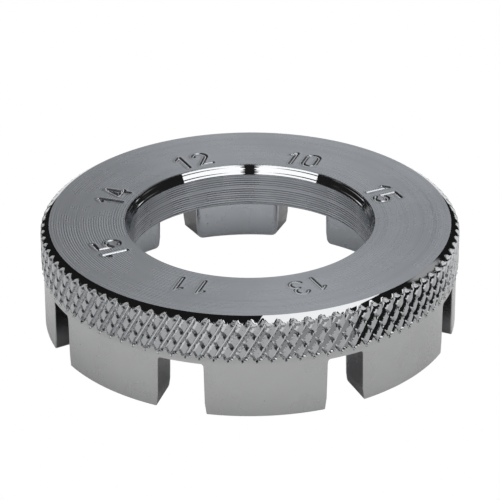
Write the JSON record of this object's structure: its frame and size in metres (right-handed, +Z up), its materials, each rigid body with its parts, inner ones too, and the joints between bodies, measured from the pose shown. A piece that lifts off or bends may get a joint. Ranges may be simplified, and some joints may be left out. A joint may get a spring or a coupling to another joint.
{
  "type": "spoke wrench",
  "caption": "Round knurled ring with slotted jaws below, each slot sized for one gauge of spoke nipple, and stamped gauge numbers on its flat top face.",
  "frame": {"origin": "on the bore's axis, in the plane of the jaw tips that the wrench stands on", "axes": "+Z up along the bore towards the stamped top face; +Y through the slot marked 10, -Y through the slot marked 11"},
  "size_m": [0.04, 0.04, 0.0102],
  "materials": {
    "turned_chrome": "plated over fine concentric turning marks, polished on the bevels",
    "knurled_chrome": "bright plating over a diamond knurl",
    "satin_chrome": "satin plating"
  },
  "bodies": {
    "root": {"flange_ring": "turned_chrome", "knurled_grip": "knurled_chrome", "skirt_ring": "satin_chrome", "jaw_1": "satin_chrome", "jaw_2": "satin_chrome", "jaw_3": "satin_chrome", "jaw_4": "satin_chrome", "jaw_5": "satin_chrome", "jaw_6": "satin_chrome", "jaw_7": "satin_chrome", "jaw_8": "satin_chrome"}
  },
  "joints": []
}
